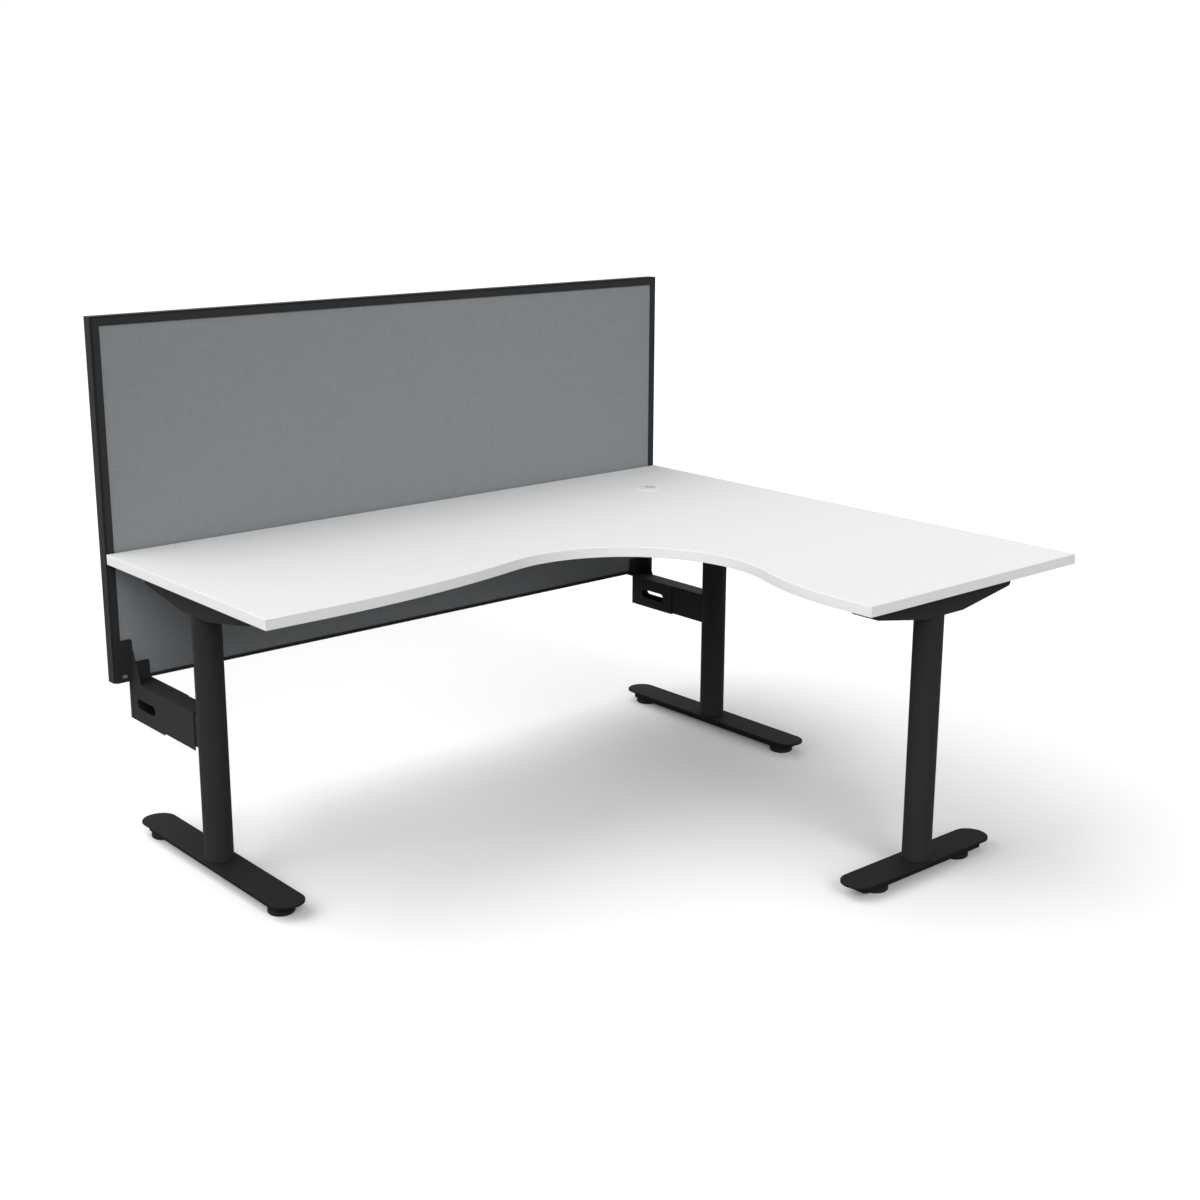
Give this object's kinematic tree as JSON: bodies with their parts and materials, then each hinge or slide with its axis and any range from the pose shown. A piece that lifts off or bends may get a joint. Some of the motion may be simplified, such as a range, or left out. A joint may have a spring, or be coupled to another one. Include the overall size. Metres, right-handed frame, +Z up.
{
  "type": "corner workstation",
  "caption": "Corner desk with a wave-front white worktop, round columns on T-feet, and a tall grey fabric screen carried behind one wing on folded, telescoping steel arms.",
  "frame": {"origin": "on the floor, in the middle of the overall footprint", "axes": "+Z up, +X along the screen wing towards the corner, +Y back towards the screen"},
  "size_m": [1.8, 1.546, 1.3],
  "materials": {
    "worktop": "white satin laminate on particle board",
    "edging": "white satin",
    "grommet": "white satin",
    "powder_coat": "black fine-texture powder coat",
    "fastener": "black zinc",
    "glide": "matt black",
    "screen_frame": "black fine-texture powder coat",
    "corner_key": "moulded",
    "screen_core": "pressed felt board",
    "screen_fabric": "plain woven, mid grey"
  },
  "bodies": {
    "frame": {"desktop_board": "worktop", "edge_band": "edging", "grommet_sleeve": "grommet", "column_left": "powder_coat", "column_corner": "powder_coat", "column_return": "powder_coat", "foot_plate_left": "powder_coat", "foot_plate_corner": "powder_coat", "foot_plate_return": "powder_coat", "foot_pan_left": "powder_coat", "foot_pan_corner": "powder_coat", "foot_pan_return": "powder_coat", "top_arm_left": "powder_coat", "top_arm_corner": "powder_coat", "top_arm_return": "powder_coat", "wing_rail": "powder_coat", "return_rail": "powder_coat", "rail_end_plates": "powder_coat", "inner_arm_left": "powder_coat", "inner_arm_corner": "powder_coat", "levelling_inserts": "fastener", "rail_bolts": "fastener", "top_screws": "fastener", "arm_clamp_screws": "fastener"},
    "screen": {"outer_arm_left": "powder_coat", "outer_arm_corner": "powder_coat", "clamp_front_left": "powder_coat", "clamp_front_corner": "powder_coat", "clamp_back_left": "powder_coat", "clamp_back_corner": "powder_coat", "clamp_bolts": "fastener", "screen_top_rail": "screen_frame", "screen_bottom_rail": "screen_frame", "screen_stile_left": "screen_frame", "screen_stile_right": "screen_frame", "screen_corner_keys": "corner_key", "screen_core": "screen_core", "screen_fabric_front": "screen_fabric", "screen_fabric_back": "screen_fabric"},
    "cable_cap": {"grommet_cap": "grommet"},
    "foot_left_front": {"levelling_pad_left_front": "glide", "levelling_stud_left_front": "fastener"},
    "foot_left_rear": {"levelling_pad_left_rear": "glide", "levelling_stud_left_rear": "fastener"},
    "foot_corner_front": {"levelling_pad_corner_front": "glide", "levelling_stud_corner_front": "fastener"},
    "foot_corner_rear": {"levelling_pad_corner_rear": "glide", "levelling_stud_corner_rear": "fastener"},
    "foot_return_front": {"levelling_pad_return_front": "glide", "levelling_stud_return_front": "fastener"},
    "foot_return_rear": {"levelling_pad_return_rear": "glide", "levelling_stud_return_rear": "fastener"}
  },
  "joints": [
    {"name": "screen_setback", "type": "slide", "parent": "frame", "child": "screen", "axis": [0, 1, 0], "range_m": [0, 0.02]},
    {"name": "cable_cap_turn", "type": "hinge", "parent": "frame", "child": "cable_cap", "pos_m": [0.655, 0.482, 0.729], "axis": [0, 0, 1], "continuous": true},
    {"name": "level_left_front", "type": "slide", "parent": "frame", "child": "foot_left_front", "axis": [0, 0, -1], "range_m": [0, 0.008]},
    {"name": "level_left_rear", "type": "slide", "parent": "frame", "child": "foot_left_rear", "axis": [0, 0, -1], "range_m": [0, 0.008]},
    {"name": "level_corner_front", "type": "slide", "parent": "frame", "child": "foot_corner_front", "axis": [0, 0, -1], "range_m": [0, 0.008]},
    {"name": "level_corner_rear", "type": "slide", "parent": "frame", "child": "foot_corner_rear", "axis": [0, 0, -1], "range_m": [0, 0.008]},
    {"name": "level_return_front", "type": "slide", "parent": "frame", "child": "foot_return_front", "axis": [0, 0, -1], "range_m": [0, 0.008]},
    {"name": "level_return_rear", "type": "slide", "parent": "frame", "child": "foot_return_rear", "axis": [0, 0, -1], "range_m": [0, 0.008]}
  ]
}
